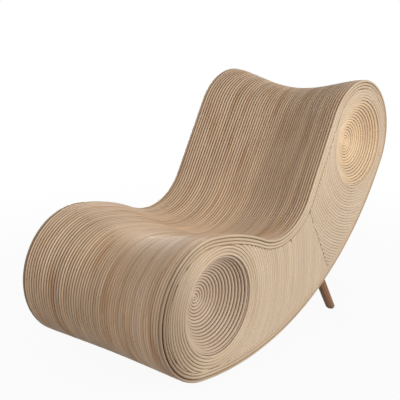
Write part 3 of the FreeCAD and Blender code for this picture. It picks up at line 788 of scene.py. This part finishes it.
def add_coil(bundle, maker, dish, face_x):
    """One cane wound from the middle of a dish to its lip, both its ends shaved to a taper."""
    inner_tip, outer_tip = 0.5, 0.93  # turns over which the ends are shaved
    thinnest = 0.0004  # radius of the outer end, in metres
    blunt = 0.35  # radius of the inner end, as a share of what it is behind its rounding
    thin_wave = 0.4  # scale of the waves along the cane, in metres
    canes = maker.canes
    pitch = canes.diameter + canes.coil_gap
    half = canes.pitch / 2
    # The last turn lies a pitch away from the first facing cane, which lies half a pitch outside the lip
    slant = half * math.cos(dish.lip)
    below_lip = math.sqrt(slant**2 + 3 * half**2) - slant
    limit = dish.sphere * dish.lip - below_lip + maker.radius
    full_turns = (limit - maker.radius - canes.coil_start) / pitch
    turn = np.arange(-inner_tip, full_turns + outer_tip, 1 / COIL_RINGS)
    shaved = np.where(turn < 0, -turn * maker.radius, 0.0)
    climb = canes.coil_start + pitch * turn + shaved
    past = turn > full_turns
    room = limit - (climb - pitch + maker.radius) - canes.coil_gap
    thick = np.where(past, np.clip(room / 2, thinnest, maker.radius), maker.radius - shaved)
    climb = np.where(past, limit - thick, climb)
    rise = climb / dish.sphere
    reach = dish.sphere * np.sin(rise)
    steps = np.hypot(np.diff(climb), reach[1:] * TURN / COIL_RINGS)
    run = np.concatenate([[0.0], np.cumsum(steps)])
    nodes = maker.nodes(0.0, run[-1])
    swell = maker.swell(run, nodes)
    thinner = THINNING * canes.coil_gap * maker.wave(run, thin_wave) ** 2
    thick = thick + canes.node_swell * swell * ~past - thinner
    tip = np.clip(run / maker.radius, 0.0, 1.0)
    thick = (thick * (blunt + (1 - blunt) * np.sqrt(1 - (1 - tip) ** 2)))[:, None]
    rise = rise[:, None]
    out = thick * np.cos(maker.turn)
    across = thick * np.sin(maker.turn)
    radial = reach[:, None] + across * np.cos(rise) - out * np.sin(rise)
    x = face_x + dish.outside + across * np.sin(rise) - (dish.sphere - out) * np.cos(rise)
    points = dish.points(x, radial, TURN * turn[:, None])
    bundle.add(points, run[:, None], maker.radius, maker.random.random(), swell[:, None])


class Reading:
    """What a node gives. Arithmetic on it, where it is a number, adds Math nodes."""

    def __init__(self, finish, socket):
        self.finish = finish
        self.socket = socket

    def math(self, operation, first, second):
        return self.finish.node("ShaderNodeMath", {"operation": operation}, {0: first, 1: second})

    def __add__(self, other):
        return self.math("ADD", self, other)

    def __sub__(self, other):
        return self.math("SUBTRACT", self, other)

    def __rsub__(self, other):
        return self.math("SUBTRACT", other, self)

    def __mul__(self, other):
        return self.math("MULTIPLY", self, other)

    def __gt__(self, other):
        return self.math("GREATER_THAN", self, other)

    __radd__ = __add__
    __rmul__ = __mul__


class Finish:
    """A material, or the world, while its nodes are laid out."""

    def __init__(self, tree):
        self.tree = tree
        tree.nodes.clear()

    def node(self, kind, settings, inputs, output=0):
        """Adds a node: its settings first, then the values or links of its sockets."""
        made = self.tree.nodes.new(kind)
        for name, value in settings.items():
            if name == "stops":
                self.set_stops(made.color_ramp, value)
            else:
                setattr(made, name, value)
        for name, value in inputs.items():
            if isinstance(value, Reading):
                self.tree.links.new(value.socket, made.inputs[name])
            else:
                made.inputs[name].default_value = value
        return Reading(self, made.outputs[output]) if made.outputs else None

    def set_stops(self, ramp, stops):
        while len(ramp.elements) < len(stops):
            ramp.elements.new(0.5)
        for element, (position, level) in zip(ramp.elements, stops):
            element.position = position
            element.color = (level, level, level, 1.0)

    def attribute(self, name, output):
        return self.node("ShaderNodeAttribute", {"attribute_name": name}, {}, output)

    def spot(self):
        """The place on the piece, in metres in the frame."""
        return self.node("ShaderNodeTexCoord", {}, {}, "Object")

    def axis(self, vector, which):
        return self.node("ShaderNodeSeparateXYZ", {}, {0: vector}, which)

    def noise(self, vector, stretch, seed, detail=2.0):
        """Noise from 0 to 1: a draw for each seed, with so many waves per metre along each axis."""
        vector = self.node("ShaderNodeVectorMath", {"operation": "MULTIPLY"}, {0: vector, 1: stretch})
        inputs = {"Vector": vector, "W": seed, "Scale": 1.0, "Detail": detail}
        return self.node("ShaderNodeTexNoise", {"noise_dimensions": "4D"}, inputs)

    def steps(self, value, *stops):
        """The value through a ramp of grey levels."""
        return self.node("ShaderNodeValToRGB", {"stops": stops}, {"Fac": value})

    def fade(self, value, start, end, low, high):
        """From low to high while the value goes from start to end."""
        inputs = {"Value": value, "From Min": start, "From Max": end, "To Min": low, "To Max": high}
        return self.node("ShaderNodeMapRange", {}, inputs)

    def mix(self, factor, first, second, blend="MIX"):
        """Two colours mixed. A colour that isn't a reading has three levels."""
        first, second = (tone if isinstance(tone, Reading) else (*tone, 1.0) for tone in (first, second))
        settings = {"data_type": "RGBA", "blend_type": blend}
        return self.node("ShaderNodeMix", settings, {0: factor, 6: first, 7: second}, 2)

    def patches(self, body, tone, noise, start, end, most):
        """The body with a tone over it where the noise is high, from none at start to the most at end."""
        return self.mix(self.steps(noise, (start, 0.0), (end, most)), body, tone)

    def bump(self, height, strength, distance):
        inputs = {"Height": height, "Strength": strength, "Distance": distance}
        return self.node("ShaderNodeBump", {}, inputs)

    def surface(self, body, roughness, more):
        inputs = {"Base Color": body, "Roughness": roughness, **more}
        shader = self.node("ShaderNodeBsdfPrincipled", {}, inputs)
        self.node("ShaderNodeOutputMaterial", {}, {"Surface": shader})


def new_finish(name):
    material = bpy.data.materials.new(name)
    material.use_nodes = True
    return material, Finish(material.node_tree)


def rattan(name, base, colours, diameter, ripeness, gap_shade, marks, front_shade=0.0):
    """Peeled rattan: long fibres, a tone of its own for each cane, riper stretches, growth nodes, painted
    shade on the flanks between the canes and painted shade in bark brown towards the front roll."""
    gap_shade_start, gap_shade_full = 0.62, 0.28  # how far a cane faces outward there, 1 for straight out
    front_shade_start, front_shade_full = -0.47, -0.6  # places along the depth, in metres
    material, finish = new_finish(name)
    grain = finish.attribute("cane_grain", "Vector")
    own = finish.attribute("cane_seed", "Fac") * 97.0  # far enough apart that each cane has its own draw
    spot = finish.spot()
    drift = finish.noise(grain, (1.3, 0.0, 0.0), own)
    weather = finish.noise(grain, (2.1, 40.0, 40.0), own + 31.0)
    ripe = finish.noise(grain, (3.4, 60.0, 60.0), own + 57.0)
    fibre = finish.noise(grain, (14.0, 900.0, 900.0), own, 3.0)
    pore = finish.noise(grain, (90.0, 1500.0, 1500.0), own + 11.0)
    blotch = finish.noise(spot, (24.0, 4.0, 4.0), 0.0)
    tone = finish.steps(drift, (0.3, 0.94 - 0.22 * ripeness), (0.7, 1.03 + 0.14 * ripeness))
    body = finish.mix(1.0, base, tone, "MULTIPLY")
    body = finish.patches(body, colours.ashen, weather, 0.5, 0.72, 0.55)
    body = finish.patches(body, colours.ripe, ripe, 0.56, 0.76, ripeness)
    body = finish.patches(body, colours.ripe, blotch, 0.5, 0.7, 0.5 * ripeness)
    body = finish.patches(body, colours.bark, fibre, 0.52, 0.8, 0.85 * marks)
    body = finish.patches(body, colours.bark, pore, 0.68, 0.78, marks)
    body = finish.mix(finish.attribute("cane_node", "Fac") * marks, body, colours.bark)
    # Painted shade: the flanks of each cane, where it meets its neighbours, turn to the gap colour in place
    # of the shade in the grooves
    outward = finish.axis(grain, 1) * (2 / diameter)
    body = finish.mix(finish.fade(outward, gap_shade_start, gap_shade_full, 0.0, gap_shade), body, colours.gap_shade_colour)
    # Painted shade: bark brown towards the front of the body, where the front roll and the rims and facing
    # canes about it turn away from the light
    if front_shade:
        brown = finish.fade(finish.axis(spot, 1), front_shade_start, front_shade_full, 0.0, front_shade)
        body = finish.mix(brown, body, colours.bark)
    rough = finish.steps(fibre, (0.3, 0.34), (0.7, 0.52))
    more = {"Specular IOR Level": 0.3, "Normal": finish.bump(fibre, 0.25, 0.0003)}
    finish.surface(body, rough, more)
    return material


def turned_wood(colours, splay):
    """Stained wood with its grain along the splayed leg, the same on both legs."""
    material, finish = new_finish("leg_wood_stained")
    spot = finish.spot()
    x, y, z = (finish.axis(spot, which) for which in range(3))
    aside = finish.node("ShaderNodeMath", {"operation": "ABSOLUTE"}, {0: x}) + z * splay
    upright = finish.node("ShaderNodeCombineXYZ", {}, {0: aside, 1: y + z * splay, 2: z})
    rings = finish.noise(upright, (260.0, 260.0, 9.0), 3.0, 4.0)
    pores = finish.noise(upright, (1300.0, 1300.0, 40.0), 8.0)
    body = finish.patches(colours.leg, colours.leg_dark, rings, 0.38, 0.68, 0.85)
    body = finish.patches(body, colours.leg_dark, pores, 0.58, 0.75, 0.6)
    rough = finish.steps(pores, (0.3, 0.38), (0.7, 0.55))
    finish.surface(body, rough, {"Normal": finish.bump(rings, 0.2, 0.0004)})
    return material


def plywood(colours):
    """Birch plywood: grain along the height and darker veneers across the thickness."""
    material, finish = new_finish("plywood_birch")
    spot = finish.spot()
    grain = finish.noise(spot, (90.0, 60.0, 7.0), 2.0, 4.0)
    inputs = {"Vector": spot, "Scale": 105.0, "Distortion": 0.4}
    layers = finish.node("ShaderNodeTexWave", {"bands_direction": "X"}, inputs, 1)
    body = finish.patches(colours.plywood, colours.veneer, layers, 0.45, 0.6, 0.5)
    body = finish.patches(body, colours.veneer, grain, 0.45, 0.8, 0.5)
    finish.surface(body, finish.steps(grain, (0.3, 0.55), (0.7, 0.75)), {})
    return material


def mottled(name, base, shade, stretch, seed, detail, cover, rough, metallic=0.0):
    """A finish with streaks or clouds of another shade and roughness."""
    material, finish = new_finish(name)
    clouds = finish.noise(finish.spot(), stretch, seed, detail)
    body = finish.patches(base, shade, clouds, *cover)
    finish.surface(body, finish.steps(clouds, *rough), {"Metallic": metallic})
    return material


def rail_wood(colours):
    """Plain beech with its grain along the rails."""
    stretch, cover, rough = (9.0, 240.0, 240.0), (0.4, 0.75, 0.6), ((0.3, 0.5), (0.7, 0.68))
    return mottled("frame_beech", colours.rail, colours.veneer, stretch, 5.0, 4.0, cover, rough)


def bright_steel(colours):
    """Zinc plated steel with cloudy plating."""
    stretch, cover, rough = (420.0, 420.0, 420.0), (0.4, 0.7, 0.35), ((0.3, 0.28), (0.7, 0.46))
    return mottled("steel_plated", colours.steel, DULL_STEEL, stretch, 1.0, 3.0, cover, rough, metallic=1.0)


def moulded_glide(colours):
    """Moulded plastic with scuffs."""
    stretch, cover, rough = (700.0, 180.0, 700.0), (0.5, 0.75, 0.3), ((0.35, 0.45), (0.7, 0.7))
    return mottled("glide_moulded", colours.glide, SCUFFS, stretch, 4.0, 3.0, cover, rough)


def dress(material, *patterns):
    """Gives the nodes of the frame whose names match a finish of their own."""
    for name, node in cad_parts.items():
        if any(fnmatch(name, pattern) for pattern in patterns):
            for slot in node.material_slots:
                slot.material = material


def chosen(context):
    """The user's sizes of the body and of its canes, and the colours."""
    scene = context.scene
    return scene.armchair_shape, scene.armchair_canes, scene.armchair_colours


class ARMCHAIR_OT_wrap_canes(bpy.types.Operator):
    """Canes side by side round the whole body"""

    bl_idname = "armchair.wrap_canes"
    bl_label = "Wrap Canes"

    def execute(self, context):
        shape, canes, colours = chosen(context)
        # Painted shade in the grooves between the wrap canes
        looks = {"ripeness": 0.8, "gap_shade": 0.68, "marks": 0.22}
        finish = rattan("wrap_rattan_peeled", colours.wrap, colours, canes.diameter, **looks)
        maker = CaneMaker(canes, seed=11)
        holes = [LegHole(canes, side) for side in (-1, 1)]
        reach = shape.width / 2 - canes.radius - canes.pitch
        places = np.linspace(-reach, reach, int(2 * reach / canes.pitch) + 1)
        for bay in sorted(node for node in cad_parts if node.startswith("wrap_canes_bay_")):
            low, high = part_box(bay)
            bundle = CaneBundle()
            for k, x in enumerate(places):
                if low.x < x < high.x:
                    outline = Outline(shape, saddle_at(shape, x), canes.radius)
                    ends = outline.ends(canes, canes.joint_shift if k % 2 else -canes.joint_shift)
                    add_wrap_cane(bundle, WrapPath(outline, x, maker, ends), holes)
            bundle.object(bay.replace("bay", "cover"), finish, bay)
        return {"FINISHED"}


class ARMCHAIR_OT_rim_canes(bpy.types.Operator):
    """Canes that follow the outline of each side face"""

    bl_idname = "armchair.rim_canes"
    bl_label = "Rim Canes"

    def execute(self, context):
        shape, canes, colours = chosen(context)
        # Painted shade: in the grooves between the rim canes, and in brown towards the front roll
        looks = {"ripeness": 0.3, "gap_shade": 0.42, "marks": 0.2, "front_shade": 0.55}
        finish = rattan("rim_rattan_peeled", colours.rim, colours, canes.diameter, **looks)
        maker = CaneMaker(canes, seed=23)
        for side in ("left", "right"):
            bundle = CaneBundle(side)
            for k in range(canes.rim_count):
                outline = Outline(shape, 0.0, canes.radius + k * canes.pitch)
                ends = outline.ends(canes, canes.joint_shift * (k - 1))
                groove = canes.rim_groove if k else 0.0
                path = WrapPath(outline, shape.width / 2 - canes.radius, maker, ends, groove)
                add_wrap_cane(bundle, path, facing=TURN / 4 if k else TURN / 8)
            bundle.object("rim_cover_" + side, finish, "rim_canes_" + side)
        return {"FINISHED"}


class ARMCHAIR_OT_facing_canes(bpy.types.Operator):
    """Arcs of cane about the dishes on each side face, which meet on a seam"""

    bl_idname = "armchair.facing_canes"
    bl_label = "Facing Canes"

    def execute(self, context):
        shape, canes, colours = chosen(context)
        # Painted shade: in the grooves between the facing canes, and in brown towards the front roll
        looks = {"ripeness": 0.22, "gap_shade": 0.1, "marks": 0.12, "front_shade": 0.38}
        finish = rattan("face_rattan_peeled", colours.face, colours, canes.diameter, **looks)
        front, top = dishes(canes)
        maker = CaneMaker(canes, seed=37)
        face_x = shape.width / 2 - canes.radius
        sliver = SLIVER * canes.diameter
        for name, dish, way in (("front", front, -1), ("back", top, 1)):
            region = Region(region_of(shape, canes, front, top, way), dish.centre)
            for side in ("left", "right"):
                bundle = CaneBundle(side)
                radius = dish.radius + canes.pitch / 2
                while radius < region.reach.max() + sliver:
                    for span in region.spans(radius - sliver):
                        add_facing_cane(bundle, maker, dish, region, radius, span, face_x)
                    radius += canes.pitch
                node = f"facing_canes_{name}_{side}"
                bundle.object(f"facing_cover_{name}_{side}", finish, node)
        return {"FINISHED"}


class ARMCHAIR_OT_dish_coils(bpy.types.Operator):
    """One cane wound into each dish"""

    bl_idname = "armchair.dish_coils"
    bl_label = "Dish Coils"

    def execute(self, context):
        shape, canes, colours = chosen(context)
        maker = CaneMaker(canes, seed=53)
        face_x = shape.width / 2 - canes.radius
        # Painted light: the top dishes' rattan is paler than the front dishes', to lighten their shaded
        # bowls
        tones = (("front", colours.front_dish, 0.3), ("top", colours.top_dish, 0.12))
        for (name, tone, gap_shade), dish in zip(tones, dishes(canes)):
            # Painted shade in the grooves between the turns of the coil
            looks = {"ripeness": 0.2, "gap_shade": gap_shade, "marks": 0.12}
            finish = rattan(f"{name}_dish_rattan_peeled", tone, colours, canes.diameter, **looks)
            for side in ("left", "right"):
                bundle = CaneBundle(side)
                add_coil(bundle, maker, dish, face_x)
                node = f"{name}_dish_coil_{side}"
                bundle.object(f"{name}_dish_winding_{side}", finish, node)
        return {"FINISHED"}


class ARMCHAIR_OT_legs(bpy.types.Operator):
    """Finish of the legs and the glides"""

    bl_idname = "armchair.legs"
    bl_label = "Legs and Glides"

    def execute(self, context):
        _, canes, colours = chosen(context)
        dress(turned_wood(colours, canes.leg_splay), "leg_left", "leg_right")
        dress(moulded_glide(colours), "*glide*")
        return {"FINISHED"}


class ARMCHAIR_OT_inner_frame(bpy.types.Operator):
    """Finish of the deck, panels, ribs, rails and fasteners inside the body"""

    bl_idname = "armchair.inner_frame"
    bl_label = "Inner Frame"

    def execute(self, context):
        _, _, colours = chosen(context)
        dress(plywood(colours), "*_deck", "side_panel*", "inner_rib*", "*_cup_*")
        dress(rail_wood(colours), "*_rail", "leg_block*")
        dress(bright_steel(colours), "rail_screws*", "leg_bolt*", "leg_washer*")
        return {"FINISHED"}


class ARMCHAIR_OT_stage(bpy.types.Operator):
    """Floor, light and camera"""

    bl_idname = "armchair.stage"
    bl_label = "Stage"

    def execute(self, context):
        scene = context.scene
        stage = scene.armchair_stage
        scene.view_settings.view_transform = "Standard"
        self.lay_floor(scene, stage)
        self.light_world(scene, stage)
        for name in ("key", "fill", "rear"):
            lamp = bpy.data.lights.new(name + "_light", "AREA")
            lamp.size = getattr(stage, name + "_size")
            lamp.energy = getattr(stage, name + "_power")
            self.aim(scene, lamp, getattr(stage, name + "_place"), stage.camera_target)
        lens = bpy.data.cameras.new("photo_camera")
        lens.lens = stage.lens
        lens.sensor_width = SENSOR
        lens.shift_x = stage.shift_across
        lens.shift_y = stage.shift_up
        scene.camera = self.aim(scene, lens, stage.camera_place, stage.camera_target)
        return {"FINISHED"}

    def aim(self, scene, data, spot, target):
        """A lamp or a camera at a spot, turned to its target."""
        made = bpy.data.objects.new(data.name, data)
        made.location = spot
        made.rotation_euler = (Vector(target) - Vector(spot)).to_track_quat("-Z", "Y").to_euler()
        scene.collection.objects.link(made)
        return made

    def lay_floor(self, scene, stage):
        half = stage.floor_size / 2
        mesh = bpy.data.meshes.new("studio_floor")
        corners = [(-half, -half, 0), (half, -half, 0), (half, half, 0), (-half, half, 0)]
        mesh.from_pydata(corners, [], [(0, 1, 2, 3)])
        material, finish = new_finish("studio_floor")
        white = finish.node("ShaderNodeEmission", {}, {"Color": WHITE, "Strength": 1.0})
        grey = (stage.floor_paper, stage.floor_paper, stage.floor_paper, 1.0)
        paper = finish.node("ShaderNodeBsdfDiffuse", {}, {"Color": grey})
        away = finish.node("ShaderNodeVectorMath", {"operation": "LENGTH"}, {0: finish.spot()}, "Value")
        shade = finish.fade(away, stage.shade_start, stage.shade_end, stage.floor_shade, 0.0)
        factor = self.seen_directly(finish) * (1 - shade)
        surface = finish.node("ShaderNodeMixShader", {}, {0: factor, 1: paper, 2: white})
        finish.node("ShaderNodeOutputMaterial", {}, {"Surface": surface})
        mesh.materials.append(material)
        floor = bpy.data.objects.new("studio_floor", mesh)
        scene.collection.objects.link(floor)

    def seen_directly(self, finish):
        """1 for what the camera sees, straight or in a mirror or glass."""
        rays = ("Is Camera Ray", "Is Glossy Ray", "Is Transmission Ray")
        straight, mirrored, through = (finish.node("ShaderNodeLightPath", {}, {}, ray) for ray in rays)
        return (straight + mirrored + through) > 0.5

    def light_world(self, scene, stage):
        world = bpy.data.worlds.new("studio")
        world.use_nodes = True
        finish = Finish(world.node_tree)
        white = finish.node("ShaderNodeBackground", {}, {"Color": WHITE, "Strength": 1.0})
        around = finish.node("ShaderNodeBackground", {}, {"Color": WHITE, "Strength": stage.ambient})
        factor = self.seen_directly(finish)
        surface = finish.node("ShaderNodeMixShader", {}, {0: factor, 1: around, 2: white})
        finish.node("ShaderNodeOutputWorld", {}, {"Surface": surface})
        scene.world = world


OPERATORS = (
    ARMCHAIR_OT_wrap_canes,
    ARMCHAIR_OT_rim_canes,
    ARMCHAIR_OT_facing_canes,
    ARMCHAIR_OT_dish_coils,
    ARMCHAIR_OT_legs,
    ARMCHAIR_OT_inner_frame,
    ARMCHAIR_OT_stage,
)


class ARMCHAIR_PT_sidebar(bpy.types.Panel):
    """Lists the pieces of the armchair"""

    bl_idname = "ARMCHAIR_PT_sidebar"
    bl_label = "Rattan Armchair"
    bl_space_type = "VIEW_3D"
    bl_region_type = "UI"
    bl_category = "Armchair"

    def draw(self, context):
        for operator in OPERATORS:
            self.layout.operator(operator.bl_idname)


SETTINGS = {
    "armchair_shape": ArmchairShape,
    "armchair_canes": ArmchairCanes,
    "armchair_colours": ArmchairColours,
    "armchair_stage": ArmchairStage,
}


def register():
    for kind in (*SETTINGS.values(), *OPERATORS, ARMCHAIR_PT_sidebar):
        bpy.utils.register_class(kind)
    for name, kind in SETTINGS.items():
        setattr(bpy.types.Scene, name, PointerProperty(type=kind))


def unregister():
    for name in SETTINGS:
        delattr(bpy.types.Scene, name)
    for kind in (ARMCHAIR_PT_sidebar, *reversed(OPERATORS), *reversed(SETTINGS.values())):
        bpy.utils.unregister_class(kind)


def main():
    register()
    bpy.ops.armchair.stage()
    bpy.ops.armchair.wrap_canes()
    bpy.ops.armchair.rim_canes()
    bpy.ops.armchair.facing_canes()
    bpy.ops.armchair.dish_coils()
    bpy.ops.armchair.legs()
    bpy.ops.armchair.inner_frame()


if __name__ == "__main__":
    main()
